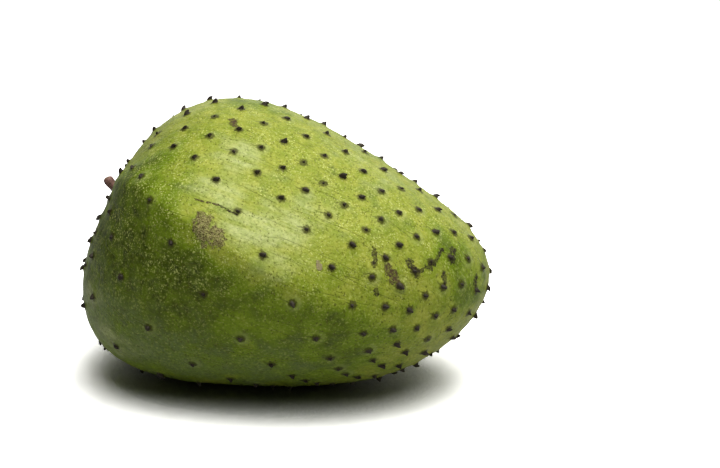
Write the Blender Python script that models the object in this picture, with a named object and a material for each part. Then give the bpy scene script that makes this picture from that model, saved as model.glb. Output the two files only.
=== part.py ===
"""Whole soursop lying on its side: one fruit with its spines, and the stub of its stem.

Run it with: blender --background --python part.py

Metres, +Z up. The fruit's long axis runs roughly along X, from the stem end (-X) to the tip (+X).
The origin is the centre of the small flat spot that the fruit rests on.
"""

from math import acos, cos, pi, radians, sin, sqrt

import bmesh
import bpy
from mathutils import Euler, Matrix, Quaternion, Vector

# The body: a lopsided drop, wide at the stem end and blunt at the tip.
LENGTH = 0.185
HALF_WIDTH = 0.0688
TAPER = 0.133  # how much more of the girth sits at the stem end
SHOULDERS = 0.066  # how full both ends are
STEM_SLANT = 0.108  # each end leans over: its top goes towards the tip
TIP_SLANT = 0.333
STEM_SIDE_SLANT = 0.09  # the stem end's near side bulges towards the tip
NOSE_DOWN = radians(17.1)  # the narrow tip lies lower than the wide stem end
BODY_CENTRE = Vector((0.0124, -0.0001, 0.0611))  # the drop's own middle, above the flat spot
BODY_GRID = 16  # cells along each side of the cube that is rounded into the body

# The crest: one strong blunt ridge that curls from the stem's shoulder towards the tip, and parts
# the broad upper face from the steep flank.
CREST_HEIGHT = 0.0105
CREST_WIDTH = radians(12.5)
CREST_BLUNTNESS = 1.4
CREST_START = radians(142.5)  # angle round the axis at the stem
CREST_TURN = 0.24  # how much further round it lies for each degree from the stem
CREST_MIDDLE = radians(62.5)  # angle from the stem where it is highest
CREST_REACH = radians(50.4)

# Soft ridges that run from stem to tip, each as (angle round the axis in degrees, height, half-width
# in degrees). Angle 0 faces +Y and 90 faces up.
RIDGES = ((-90, 0.0012, 22), (-24, 0.0015, 26))
# Swellings and hollows, each as (degrees from the stem, degrees round the axis, height, half-width
# in degrees).
SWELLINGS = (
    (60, -132, 0.0100, 36),
    (66, 20, 0.0039, 34),
    (100, -40, 0.0057, 36),
    (150, 60, 0.0055, 26),
    (45, -172, -0.0026, 24),
    (80, 125, -0.0033, 26),
    (110, 140, 0.0043, 24),
    (100, -175, 0.0051, 26),
)
STEM_HOLLOW = 0.0040  # depth of the dimple that the stem stands in
STEM_HOLLOW_ANGLE = radians(11)

# The spines: short soft horns on a golden-angle spiral, hooked towards the tip.
SPINE_COUNT = 330
GOLDEN_ANGLE = pi * (3 - sqrt(5))
# Where the skin grew more or less than elsewhere, each as (degrees from the stem, degrees round the
# axis, stretch, half-width in degrees): the spines stand wide apart on the ripe flank and crowd
# together beside the stem.
STRETCHES = ((72, -172, 0.9, 36), (24, -160, -0.5, 32))
SPINE_BASE_RADIUS = 0.0019
SPINE_HEIGHT = 0.0024
SPINE_HOOK = 0.0019  # how far the point leans towards the tip
SPINE_ROOT = 0.0010  # depth of its root under the skin
SPINE_SIDES = 5
BARE_AT_STEM = radians(9)
LOWEST_SPINE = 0.0024  # the spines whose points would hang below this height have worn away

# The stem stub.
STEM_REACH = 0.0088  # straight out from the fruit
STEM_RISE = 0.0034  # how far it bends up on the way
STEM_FOOT_RADIUS = 0.0036
STEM_NECK_RADIUS = 0.0023
STEM_END_RADIUS = 0.0025
STEM_GAP = 0.0006  # its foot stays clear of the hollow's rising sides


def direction_at(angle_from_stem, angle_round):
    """The unit direction that far from the stem's pole (-X) and that far round the axis."""
    ring = sin(angle_from_stem)
    return Vector((-cos(angle_from_stem), ring * cos(angle_round), ring * sin(angle_round)))


def fade(angle, half_width, bluntness=2.0):
    """1 at angle 0, a half at the half-width, and nothing far off."""
    return 2.0 ** (-(abs(angle / half_width) ** bluntness))


def relief_height(direction):
    """How far the crest, ridges, swellings and the stem's hollow lift the skin in that direction."""
    from_stem = direction.angle(Vector((-1, 0, 0)))
    lift = -STEM_HOLLOW * fade(from_stem, STEM_HOLLOW_ANGLE)
    around = Vector((0.0, direction.y, direction.z))
    if around.length > 1e-6:
        crest = direction_at(pi / 2, CREST_START + CREST_TURN * from_stem)
        height = CREST_HEIGHT * fade(from_stem - CREST_MIDDLE, CREST_REACH)
        lift += height * around.length * fade(around.angle(crest), CREST_WIDTH, CREST_BLUNTNESS)
        for degrees_round, height, half_width in RIDGES:
            crest = direction_at(pi / 2, radians(degrees_round))
            lift += height * around.length * fade(around.angle(crest), radians(half_width))
    for degrees_from_stem, degrees_round, height, half_width in SWELLINGS:
        middle = direction_at(radians(degrees_from_stem), radians(degrees_round))
        lift += height * fade(direction.angle(middle), radians(half_width))
    return lift


def skin_point(direction):
    """The point of the skin that lies in that direction of the sphere that the drop is made from."""
    stemward = (1.0 - direction.x) / 2.0
    girth_squared = direction.y**2 + direction.z**2
    fullness = 1.0 - 2.0 * TAPER * direction.x + SHOULDERS * (3.0 - 4.0 * girth_squared)
    across = HALF_WIDTH * fullness * direction.y
    upward = HALF_WIDTH * fullness * direction.z
    along = LENGTH / 2.0 * direction.x
    along += (STEM_SLANT * stemward + TIP_SLANT * (1.0 - stemward)) * upward
    along -= STEM_SIDE_SLANT * stemward * across
    shaped = Vector((along, across, upward)) + relief_height(direction) * direction
    return BODY_CENTRE + Euler((0.0, NOSE_DOWN, 0.0)).to_matrix() @ shaped


def skin_frame(direction):
    """The skin's point there, its outward normal, and the way towards the tip along the skin."""
    step = 0.01
    sideways = direction.cross(Vector((1.0, 0.0, 0.0))).normalized()
    tipward = sideways.cross(direction)
    point = skin_point(direction)
    to_tip = skin_point((direction + step * tipward).normalized()) - point
    to_side = skin_point((direction + step * sideways).normalized()) - point
    normal = to_tip.cross(to_side).normalized()
    if normal.dot(point - BODY_CENTRE) < 0.0:
        normal.negate()
    return point, normal, to_tip.normalized()


def stretched(direction):
    """Moves a direction as the skin there grew: away from each stretch's middle, or towards it."""
    for degrees_from_stem, degrees_round, stretch, half_width in STRETCHES:
        middle = direction_at(radians(degrees_from_stem), radians(degrees_round))
        off = direction.angle(middle)
        further = off * stretch * fade(off, radians(half_width))
        direction = Quaternion(middle.cross(direction), further) @ direction
    return direction


def spine_directions():
    """Directions of the spines: an even golden-angle spiral, stretched as the skin grew."""
    for number in range(SPINE_COUNT):
        angle_from_stem = acos(1.0 - (2.0 * number + 1.0) / SPINE_COUNT)
        direction = stretched(direction_at(angle_from_stem, number * GOLDEN_ANGLE))
        if direction.angle(Vector((-1, 0, 0))) > BARE_AT_STEM:
            yield direction


def material(name, colour, roughness):
    """A Principled material of one colour."""
    made = bpy.data.materials.new(name)
    made.use_nodes = True
    shader = made.node_tree.nodes["Principled BSDF"]
    shader.inputs["Base Color"].default_value = (*colour, 1.0)
    shader.inputs["Roughness"].default_value = roughness
    return made


def add_object(name, shape, finish):
    """Puts the bmesh into the scene as an object, shaded smooth but for its sharp edges."""
    bmesh.ops.recalc_face_normals(shape, faces=shape.faces[:])
    mesh = bpy.data.meshes.new(name)
    shape.to_mesh(mesh)
    shape.free()
    mesh.materials.append(finish)
    mesh.shade_smooth()
    mesh.set_sharp_from_angle(angle=radians(40))
    made = bpy.data.objects.new(name, mesh)
    bpy.context.scene.collection.objects.link(made)
    return made


def build_body(finish):
    """The drop-shaped body, a gridded cube rounded by the rule and cut flat where it rests."""
    shape = bmesh.new()
    bmesh.ops.create_cube(shape, size=2.0)
    bmesh.ops.subdivide_edges(shape, edges=shape.edges[:], cuts=BODY_GRID - 1, use_grid_fill=True)
    for vertex in shape.verts:
        vertex.co = skin_point(vertex.co.normalized())
    everything = shape.verts[:] + shape.edges[:] + shape.faces[:]
    bmesh.ops.bisect_plane(
        shape, geom=everything, plane_co=(0, 0, 0), plane_no=(0, 0, -1), clear_outer=True
    )
    bmesh.ops.contextual_create(shape, geom=[edge for edge in shape.edges if edge.is_boundary])
    return add_object("fruit", shape, finish)


def build_horns(finish):
    """All the spines as closed horns in one mesh, each rooted a little under the skin."""
    shape = bmesh.new()
    for direction in spine_directions():
        point, normal, tipward = skin_frame(direction)
        if min(point.z, (point + SPINE_HEIGHT * normal).z) < LOWEST_SPINE:
            continue
        horn = bmesh.ops.create_cone(
            shape,
            cap_ends=True,
            segments=SPINE_SIDES,
            radius1=SPINE_BASE_RADIUS,
            radius2=0.0,
            depth=SPINE_ROOT + SPINE_HEIGHT,
            matrix=Matrix.Translation((0, 0, (SPINE_HEIGHT - SPINE_ROOT) / 2)),
        )
        sideways = normal.cross(tipward)
        for vertex in horn["verts"]:
            ahead, across, up = vertex.co
            ahead += SPINE_HOOK * max(0.0, up / SPINE_HEIGHT)
            vertex.co = point + ahead * tipward + across * sideways + up * normal
    return add_object("spine_horns", shape, finish)


def grow_spines(body, horns):
    """Joins the horns to the body, so that the fruit is one closed solid."""
    union = body.modifiers.new("grow_spines", "BOOLEAN")
    union.operation = "UNION"
    union.solver = "EXACT"
    union.object = horns
    horns.hide_render = True
    horns.display_type = "WIRE"


def build_stem(finish):
    """The stem stub: a curve with a flared foot that stands in the hollow and bends up."""
    point, normal, upward = skin_frame(direction_at(radians(1), radians(90)))
    stations = (
        (0.0, STEM_FOOT_RADIUS),
        (0.15, 1.2 * STEM_NECK_RADIUS),
        (0.45, STEM_NECK_RADIUS),
        (0.7, STEM_END_RADIUS),
        (0.9, 0.92 * STEM_END_RADIUS),
        (1.0, 0.6 * STEM_END_RADIUS),
    )
    curve = bpy.data.curves.new("stem", "CURVE")
    curve.dimensions = "3D"
    curve.bevel_depth = 1.0
    curve.bevel_resolution = 2
    curve.use_fill_caps = True
    spline = curve.splines.new("POLY")
    spline.points.add(len(stations) - 1)
    for station, (share, radius) in zip(spline.points, stations):
        out = STEM_GAP + share * STEM_REACH
        station.co = (*(point + out * normal + share**2 * STEM_RISE * upward), 1.0)
        station.radius = radius
    curve.materials.append(finish)
    stem = bpy.data.objects.new("stem", curve)
    bpy.context.scene.collection.objects.link(stem)
    return stem


def main():
    for leftover in list(bpy.data.objects):
        bpy.data.objects.remove(leftover)
    rind = material("rind", (0.32, 0.40, 0.07), 0.45)
    bark = material("bark", (0.20, 0.09, 0.06), 0.8)
    grow_spines(build_body(rind), build_horns(rind))
    build_stem(bark)


main()
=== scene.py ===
import logging
from collections.abc import Sequence
from dataclasses import dataclass, field
from enum import Enum
from math import cos, pi, radians, sin, sqrt

import bmesh
import bpy
import numpy as np
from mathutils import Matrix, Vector


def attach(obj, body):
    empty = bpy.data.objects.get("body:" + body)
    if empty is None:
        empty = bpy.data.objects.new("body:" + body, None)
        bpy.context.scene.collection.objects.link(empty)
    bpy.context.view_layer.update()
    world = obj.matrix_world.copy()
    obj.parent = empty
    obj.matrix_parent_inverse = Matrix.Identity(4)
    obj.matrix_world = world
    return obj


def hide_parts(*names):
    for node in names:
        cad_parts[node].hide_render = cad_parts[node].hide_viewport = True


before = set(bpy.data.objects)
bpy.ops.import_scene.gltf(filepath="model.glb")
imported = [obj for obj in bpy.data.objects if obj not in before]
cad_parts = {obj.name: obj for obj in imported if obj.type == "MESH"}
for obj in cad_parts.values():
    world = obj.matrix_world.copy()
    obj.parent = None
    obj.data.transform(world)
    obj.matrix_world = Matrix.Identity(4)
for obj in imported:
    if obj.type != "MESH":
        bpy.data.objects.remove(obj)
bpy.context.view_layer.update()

log = logging.getLogger("soursop")

Array = np.ndarray
Material = bpy.types.Material
Piece = bpy.types.Object
Signal = bpy.types.NodeSocket
Tree = bpy.types.NodeTree
Span = tuple[float, float]
Triple = tuple[float, float, float]
Curve = tuple[tuple[float, ...], tuple[float, ...]]
Value = float | Sequence[float] | str | Signal | bpy.types.ID

STEM_POLE = np.array([-1.0, 0.0, 0.0])
GOLDEN_ANGLE = pi * (3.0 - sqrt(5.0))


# ---- Node trees ----


class Weave:
    """Adds and links the nodes of one shader or Geometry Nodes tree."""

    def __init__(self, tree: Tree) -> None:
        """Starts on a tree."""
        self.tree = tree

    def feed(self, socket: Signal, value: Value) -> None:
        """Fills an input socket.

        Args:
            socket: The input socket.
            value: An output socket to link, or a plain value.
        """
        if isinstance(value, Signal):
            self.tree.links.new(value, socket)
        else:
            socket.default_value = (*value, 1.0) if socket.type == "RGBA" else value

    def add(
        self, kind: str, settings: dict[str, object] | None = None, *inputs: Value | None, **named: Value
    ) -> bpy.types.Node:
        """Adds a node.

        Args:
            kind: The node's type name.
            settings: The node's own properties, such as its operation.
            inputs: What goes into its sockets in order; None leaves one alone.
            named: What goes into its sockets by name, with _ for a space.

        Returns:
            The node.
        """
        node = self.tree.nodes.new(kind)
        for name, setting in (settings or {}).items():
            setattr(node, name, setting)
        for socket, value in zip(node.inputs, inputs):
            if value is not None:
                self.feed(socket, value)
        for name, value in named.items():
            wanted = name.replace("_", " ").lower()
            self.feed(next(one for one in node.inputs if one.name.lower() == wanted and one.enabled), value)
        return node

    def math(self, operation: str, *values: Value, clamp: bool = False) -> Signal:
        """A Math node's result, kept from 0 to 1 if it is clamped."""
        return self.add("ShaderNodeMath", {"operation": operation, "use_clamp": clamp}, *values).outputs[0]

    def plus(self, first: Value, second: Value) -> Signal:
        """The sum of two numbers."""
        return self.math("ADD", first, second)

    def minus(self, first: Value, second: Value) -> Signal:
        """The first number less the second."""
        return self.math("SUBTRACT", first, second)

    def times(self, first: Value, second: Value) -> Signal:
        """The product of two numbers."""
        return self.math("MULTIPLY", first, second)

    def onto(self, base: Value, value: Value, share: Value) -> Signal:
        """A number with a share of another added to it."""
        return self.math("MULTIPLY_ADD", value, share, base)

    def vector(self, operation: str, *values: Value | None) -> Signal:
        """A Vector Math node's vector, or its number where it gives one."""
        node = self.add("ShaderNodeVectorMath", {"operation": operation}, *values)
        return node.outputs["Value" if operation in ("LENGTH", "DOT_PRODUCT") else "Vector"]

    def scale(self, vector: Value, by: Value) -> Signal:
        """A vector times a number."""
        return self.vector("SCALE", vector, None, None, by)

    def bundle(self, **parts: Value) -> Signal:
        """A vector of the parts X, Y and Z, each 0 if it isn't given."""
        return self.add("ShaderNodeCombineXYZ", **parts).outputs[0]

    def split(self, vector: Value) -> list[Signal]:
        """A vector's three parts."""
        return list(self.add("ShaderNodeSeparateXYZ", Vector=vector).outputs)

    def ease(self, value: Value, start: Value, end: Value, low: Value = 0.0, high: Value = 1.0) -> Signal:
        """Maps a value smoothly from one range to another and holds it at the ends.

        Args:
            value: The value.
            start: Where the result is low.
            end: Where the result is high.
            low: The result at start.
            high: The result at end.

        Returns:
            The mapped value.
        """
        smooth = {"interpolation_type": "SMOOTHSTEP"}
        return self.add("ShaderNodeMapRange", smooth, value, start, end, low, high).outputs[0]

    def noise(
        self, vector: Value, scale: Value, detail: Value = 2.0, roughness: float = 0.5, bent: float = 0.0
    ) -> Signal:
        """Soft noise.

        Args:
            vector: Where it is read.
            scale: How many waves it has to the metre.
            detail: How many finer layers it has.
            roughness: How strong the finer layers are.
            bent: How much it is distorted.

        Returns:
            A number that lies round a half.
        """
        layers = {"Detail": detail, "Roughness": roughness, "Distortion": bent}
        return self.add("ShaderNodeTexNoise", Vector=vector, Scale=scale, **layers).outputs[0]

    def swing(self, noise: Signal) -> Signal:
        """Noise moved to lie round 0."""
        return self.minus(noise, 0.5)

    def blend(self, share: Value, under: Value, over: Value) -> Signal:
        """Lays a colour over another.

        Args:
            share: How much of the upper one shows.
            under: The lower colour.
            over: The upper colour.

        Returns:
            The mixed colour.
        """
        node = self.add("ShaderNodeMix", {"data_type": "RGBA"}, share)
        self.feed(node.inputs[6], under)
        self.feed(node.inputs[7], over)
        return node.outputs[2]

    def place(self, group: Tree, **values: Value) -> Signal:
        """Adds a shader node group.

        Args:
            group: The group.
            values: What goes into its inputs, by name.

        Returns:
            Its output.
        """
        node = self.add("ShaderNodeGroup", {"node_tree": group})
        for name, value in values.items():
            self.feed(node.inputs[name.title()], value)
        return node.outputs[0]

    def keep(self, shape: Signal, name: str, value: Signal, kind: str = "FLOAT_VECTOR") -> Signal:
        """Stores an attribute on each point of a shape.

        Args:
            shape: The geometry.
            name: The attribute's name.
            value: Its value.
            kind: Its data type.

        Returns:
            The geometry with it.
        """
        on_points = {"data_type": kind, "domain": "POINT"}
        node = self.add("GeometryNodeStoreNamedAttribute", on_points, Geometry=shape, Name=name, Value=value)
        return node.outputs[0]

    def kept(self, name: str, kind: str = "FLOAT_VECTOR") -> Signal:
        """A named attribute of the geometry."""
        return self.add("GeometryNodeInputNamedAttribute", {"data_type": kind}, Name=name).outputs[0]

    def end(self, shape: Signal, finish: Signal, out: Signal) -> Tree:
        """Ends a Geometry Nodes tree: real geometry, shaded smooth and in its material.

        Args:
            shape: The geometry.
            finish: The material.
            out: The tree's output.

        Returns:
            The tree.
        """
        for kind in ("GeometryNodeRealizeInstances", "GeometryNodeSetShadeSmooth"):
            shape = self.add(kind, Geometry=shape).outputs[0]
        self.feed(out, self.add("GeometryNodeSetMaterial", Geometry=shape, Material=finish).outputs[0])
        return self.tree


class SocketKind(Enum):
    """The kinds of socket that a group's face has."""

    NUMBER = "NodeSocketFloat"
    COUNT = "NodeSocketInt"
    VECTOR = "NodeSocketVector"
    GEOMETRY = "NodeSocketGeometry"
    OBJECT = "NodeSocketObject"
    MATERIAL = "NodeSocketMaterial"

    @classmethod
    def fitting(cls, value: Value) -> "SocketKind":
        """The kind of socket that takes a value."""
        fits = ((Piece, cls.OBJECT), (Material, cls.MATERIAL), (int, cls.COUNT), (float, cls.NUMBER))
        return next(kind for sort, kind in fits if isinstance(value, sort))


def new_group(
    name: str, takes: dict[str, SocketKind], gives: SocketKind
) -> tuple[Weave, dict[str, Signal], Signal]:
    """Starts a node group with named inputs and one output.

    Args:
        name: The group's name.
        takes: Its inputs.
        gives: Its output, a mask of a shader group or the geometry of a Geometry Nodes tree.

    Returns:
        The weave on its tree, its inputs by name, and the socket that its output goes into.
    """
    shapes = gives is SocketKind.GEOMETRY
    tree = bpy.data.node_groups.new(name, "GeometryNodeTree" if shapes else "ShaderNodeTree")
    for label, socket in takes.items():
        tree.interface.new_socket(name=label, in_out="INPUT", socket_type=socket.value)
    label = "Geometry" if shapes else "Mask"
    tree.interface.new_socket(name=label, in_out="OUTPUT", socket_type=gives.value)
    entry = tree.nodes.new("NodeGroupInput")
    return Weave(tree), dict(zip(takes, entry.outputs)), tree.nodes.new("NodeGroupOutput").inputs[0]


def shape_group(name: str, sizes: dict[str, Value]) -> tuple[Weave, dict[str, Signal], Signal]:
    """Starts a Geometry Nodes tree that takes geometry and the given sizes.

    Args:
        name: The tree's name.
        sizes: What its inputs will be set to, by name.

    Returns:
        The weave on its tree, its inputs by name, and the socket that its output goes into.
    """
    fitting = {label: SocketKind.fitting(size) for label, size in sizes.items()}
    return new_group(name, {"Geometry": SocketKind.GEOMETRY} | fitting, SocketKind.GEOMETRY)


def new_material(name: str) -> tuple[Material, Weave, bpy.types.Node]:
    """Starts a material.

    Args:
        name: Its name.

    Returns:
        The material, the weave on its tree, and its Principled shader.
    """
    made = bpy.data.materials.new(name)
    made.use_nodes = True
    return made, Weave(made.node_tree), made.node_tree.nodes["Principled BSDF"]


# ---- Effects that more than one material uses ----


class Effects:
    """The shader node groups that the finishes share, each built once."""

    def __init__(self) -> None:
        """Builds every group."""
        self.mottle = self._mottle()
        self.specks = self._specks()

    @staticmethod
    def _start(name: str, *numbers: str) -> tuple[Weave, dict[str, Signal], Signal]:
        """Starts a group that takes a vector and numbers and gives a mask.

        Args:
            name: The group's name.
            numbers: The names of its numbers.

        Returns:
            The weave on its tree, its inputs by name, and the socket that its mask goes into.
        """
        takes = {"Vector": SocketKind.VECTOR} | dict.fromkeys(numbers, SocketKind.NUMBER)
        return new_group(name, takes, SocketKind.NUMBER)

    def _mottle(self) -> Tree:
        """Soft blotches of one size.

        Returns:
            A group that gives 0 to 1 over the surface.
        """
        weave, takes, out = self._start("mottle", "Size", "Detail", "Contrast")
        noise = weave.noise(takes["Vector"], weave.math("DIVIDE", 1.0, takes["Size"]), takes["Detail"])
        spread = weave.math("DIVIDE", 0.25, takes["Contrast"])
        weave.feed(out, weave.ease(noise, weave.minus(0.5, spread), weave.plus(0.5, spread)))
        return weave.tree

    def _specks(self) -> Tree:
        """Small round specks of uneven size, scattered with gaps.

        Returns:
            A group that gives 1 in a speck and 0 between them.
        """
        weave, takes, out = self._start("specks", "Spacing", "Size", "Share")
        scale = weave.math("DIVIDE", 1.0, takes["Spacing"])
        bent = weave.add("ShaderNodeTexNoise", Vector=takes["Vector"], Scale=scale, Detail=1.0)
        pushed = weave.scale(weave.vector("SUBTRACT", bent.outputs["Color"], (0.5, 0.5, 0.5)), takes["Size"])
        cells = weave.add(
            "ShaderNodeTexVoronoi", Vector=weave.vector("ADD", takes["Vector"], pushed), Scale=scale
        )
        pick = weave.add("ShaderNodeSeparateColor", Color=cells.outputs["Color"]).outputs
        radius = weave.times(weave.math("DIVIDE", takes["Size"], takes["Spacing"]), 0.5)
        radius = weave.times(radius, weave.onto(0.5, pick[1], 0.8))
        dot = weave.ease(cells.outputs["Distance"], weave.times(radius, 0.55), radius, 1.0, 0.0)
        weave.feed(out, weave.times(dot, weave.math("LESS_THAN", pick[0], takes["Share"])))
        return weave.tree


@dataclass(frozen=True)
class Blotches:
    """Soft blotches: their size in metres and how far the pattern is moved aside."""

    size: float
    detail: float
    contrast: float
    shift: float = 0.0


@dataclass(frozen=True)
class Specks:
    """Specks: their spacing and width in metres, and the share of the places that have one.

    The squash scales the coordinates, which draws the specks out into dashes.
    """

    spacing: float
    size: float
    share: float
    shift: float = 0.0
    squash: Triple | None = None


class Brush:
    """A material that is being painted: its nodes, the colour so far and the shared effects."""

    def __init__(self, name: str, effects: Effects, ground: Triple) -> None:
        """Starts a material.

        Args:
            name: Its name.
            effects: The shared groups.
            ground: The colour that everything else is painted over.
        """
        self.material, self.weave, self.shader = new_material(name)
        self.effects = effects
        self.colour: Value = ground
        self.coords = self.weave.add("ShaderNodeTexCoord").outputs["Object"]

    def attribute(self, name: str, output: str = "Fac") -> Signal:
        """An attribute of the mesh, as a number or as a Vector."""
        return self.weave.add("ShaderNodeAttribute", {"attribute_name": name}).outputs[output]

    def shifted(self, shift: float) -> Signal:
        """The coordinates moved aside, so that two patterns of one kind differ."""
        return self.weave.vector("ADD", self.coords, (shift, -shift, 0.5 * shift)) if shift else self.coords

    def mottle(self, blotches: Blotches) -> Signal:
        """Blotches, from 0 to 1."""
        sizes = {"size": blotches.size, "detail": blotches.detail, "contrast": blotches.contrast}
        return self.weave.place(self.effects.mottle, vector=self.shifted(blotches.shift), **sizes)

    def specks(self, specks: Specks) -> Signal:
        """Specks of one kind.

        Args:
            specks: The kind.

        Returns:
            1 in a speck and 0 between them.
        """
        vector = self.shifted(specks.shift)
        if specks.squash:
            vector = self.weave.vector("MULTIPLY", vector, specks.squash)
        sizes = {"spacing": specks.spacing, "size": specks.size, "share": specks.share}
        return self.weave.place(self.effects.specks, vector=vector, **sizes)

    def paint(self, share: Value, colour: Value, strength: float = 1.0) -> None:
        """Paints a colour over what is there.

        Args:
            share: Where it goes, from 0 to 1.
            colour: The colour.
            strength: How strongly it covers.
        """
        if strength != 1.0:
            share = self.weave.times(share, strength)
        self.colour = self.weave.blend(share, self.colour, colour)

    def finish(self, roughness: Value, height: Value, strength: float, depth: float) -> Material:
        """Connects the colour, the roughness and the fine relief to the shader.

        Args:
            roughness: The roughness.
            height: The relief, from about 0 to 1.
            strength: How strong the relief looks.
            depth: The relief's depth in metres.

        Returns:
            The finished material.
        """
        bump = self.weave.add("ShaderNodeBump", Strength=strength, Distance=depth, Height=height)
        inputs = (("Base Color", self.colour), ("Roughness", roughness), ("Normal", bump.outputs[0]))
        for name, value in inputs:
            self.weave.feed(self.shader.inputs[name], value)
        return self.material


# ---- The fruit's shape ----


def direction_at(from_stem: float, round_axis: float) -> Array:
    """A unit direction of the sphere that the drop is made from.

    Args:
        from_stem: Angle from the stem's pole, -X, in degrees.
        round_axis: Angle round the axis, in degrees; 0 faces +Y and 90 faces up.

    Returns:
        The direction.
    """
    ring, turn = sin(radians(from_stem)), radians(round_axis)
    return np.array([-cos(radians(from_stem)), ring * cos(turn), ring * sin(turn)])


def unit(vectors: Array) -> Array:
    """The vectors, each made 1 long."""
    return vectors / np.linalg.norm(vectors, axis=-1, keepdims=True)


def angle_between(vectors: Array, to: Array) -> Array:
    """The angle in degrees from each unit vector to one unit vector."""
    return np.degrees(np.arccos(np.clip(vectors @ to, -1.0, 1.0)))


def turn_round(directions: Array) -> Array:
    """How far round the axis each direction lies, in degrees."""
    return np.degrees(np.arctan2(directions[:, 2], directions[:, 1]))


def apart(turn: Array, other: float | Array) -> Array:
    """How many degrees one angle round the axis is past another, from -180 to 180."""
    return (turn - other + 180.0) % 360.0 - 180.0


def fade(angle: Array, half_width: float, bluntness: float = 2.0) -> Array:
    """1 at angle 0 and a half at the half-width; a lower bluntness makes a sharper peak."""
    return 2.0 ** (-(np.abs(angle / half_width) ** bluntness))


@dataclass(frozen=True)
class Spot:
    """A soft round spot of the skin in degrees from the stem, round the axis and across.

    Its amount is a height in metres, a stretch or a share of a colour.
    """

    from_stem: float
    round_axis: float
    amount: float
    half_width: float

    def middle(self) -> Array:
        """The direction of its middle."""
        return direction_at(self.from_stem, self.round_axis)

    def cover(self, directions: Array) -> Array:
        """How much of the spot each direction has, at most its amount."""
        return self.amount * fade(angle_between(directions, self.middle()), self.half_width)


@dataclass(frozen=True)
class Ridge:
    """A soft ridge from stem to tip, in degrees and metres."""

    round_axis: float
    height: float
    half_width: float


@dataclass(frozen=True)
class Crest:
    """The strong blunt ridge that curls from the stem's shoulder to the tip, in degrees and metres."""

    height: float = 0.0105
    half_width: float = 12.5
    bluntness: float = 1.4
    start: float = 142.5
    turn: float = 0.24
    middle: float = 62.5
    reach: float = 50.4

    def past(self, from_stem: Array, directions: Array) -> Array:
        """How many degrees past the crest's line each direction lies."""
        return apart(turn_round(directions), self.start + self.turn * from_stem)


@dataclass(frozen=True)
class Drop:
    """The lopsided drop that the fruit's body follows, wide at the stem end and blunt at the tip."""

    length: float = 0.185
    half_width: float = 0.0688
    taper: float = 0.133
    shoulders: float = 0.066
    stem_slant: float = 0.108
    tip_slant: float = 0.333
    stem_side_slant: float = 0.09
    nose_down: float = 17.1
    centre: Triple = (0.0124, -0.0001, 0.0611)
    crest: Crest = Crest()
    ridges: tuple[Ridge, ...] = (Ridge(-90, 0.0012, 22), Ridge(-24, 0.0015, 26))
    swellings: tuple[Spot, ...] = (
        Spot(60, -132, 0.0100, 36), Spot(66, 20, 0.0039, 34), Spot(100, -40, 0.0057, 36),
        Spot(150, 60, 0.0055, 26), Spot(45, -172, -0.0026, 24), Spot(80, 125, -0.0033, 26),
        Spot(110, 140, 0.0043, 24), Spot(100, -175, 0.0051, 26),
    )
    hollow_depth: float = 0.0040
    hollow_angle: float = 11.0
    slope_step: float = 0.01

    def lift(self, directions: Array) -> Array:
        """How far the crest, ridges, swellings and the stem's hollow lift the skin, in metres.

        Args:
            directions: Unit directions, one a row.

        Returns:
            The lift of each.
        """
        from_stem = angle_between(directions, STEM_POLE)
        girth = np.hypot(directions[:, 1], directions[:, 2])
        turn = turn_round(directions)
        lift = -self.hollow_depth * fade(from_stem, self.hollow_angle)
        crest = self.crest
        height = crest.height * fade(from_stem - crest.middle, crest.reach)
        lift += height * girth * fade(crest.past(from_stem, directions), crest.half_width, crest.bluntness)
        for ridge in self.ridges:
            lift += ridge.height * girth * fade(apart(turn, ridge.round_axis), ridge.half_width)
        for swelling in self.swellings:
            lift += swelling.cover(directions)
        return lift

    def points(self, directions: Array) -> Array:
        """The points of the skin in the given directions.

        Args:
            directions: Unit directions, one a row.

        Returns:
            The points, in the model's frame.
        """
        x, y, z = directions.T
        stemward = (1.0 - x) / 2.0
        fullness = 1.0 - 2.0 * self.taper * x + self.shoulders * (3.0 - 4.0 * (y * y + z * z))
        across = self.half_width * fullness * y
        upward = self.half_width * fullness * z
        along = self.length / 2.0 * x - self.stem_side_slant * stemward * across
        along += (self.stem_slant * stemward + self.tip_slant * (1.0 - stemward)) * upward
        shaped = np.stack([along, across, upward], -1) + self.lift(directions)[:, None] * directions
        dip, level = sin(radians(self.nose_down)), cos(radians(self.nose_down))
        turned = np.array([[level, 0.0, dip], [0.0, 1.0, 0.0], [-dip, 0.0, level]])
        return shaped @ turned.T + np.array(self.centre)

    def frames(self, directions: Array) -> tuple[Array, Array, Array]:
        """The skin's points with their outward normals and their ways towards the tip.

        Args:
            directions: Unit directions, one a row.

        Returns:
            Points, normals and tipward directions.
        """
        sideways = unit(np.cross(directions, [1.0, 0.0, 0.0]))
        tipward = np.cross(sideways, directions)
        points = self.points(directions)
        to_tip = self.points(unit(directions + self.slope_step * tipward)) - points
        to_side = self.points(unit(directions + self.slope_step * sideways)) - points
        normals = unit(np.cross(to_tip, to_side))
        outward = np.sum(normals * (points - np.array(self.centre)), axis=1)
        return points, normals * np.sign(outward)[:, None], unit(to_tip)


# ---- Meshes ----


def add_object(name: str, data: bpy.types.ID) -> Piece:
    """Puts a new object into the scene.

    Args:
        name: Its name.
        data: Its mesh, light or camera.

    Returns:
        The object.
    """
    made = bpy.data.objects.new(name, data)
    bpy.context.scene.collection.objects.link(made)
    return made


def plain_mesh(name: str, shape: bmesh.types.BMesh) -> bpy.types.Mesh:
    """Turns a shape into a mesh and frees the shape.

    Args:
        name: The mesh's name.
        shape: The shape.

    Returns:
        The mesh.
    """
    mesh = bpy.data.meshes.new(name)
    shape.to_mesh(mesh)
    shape.free()
    return mesh


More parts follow.
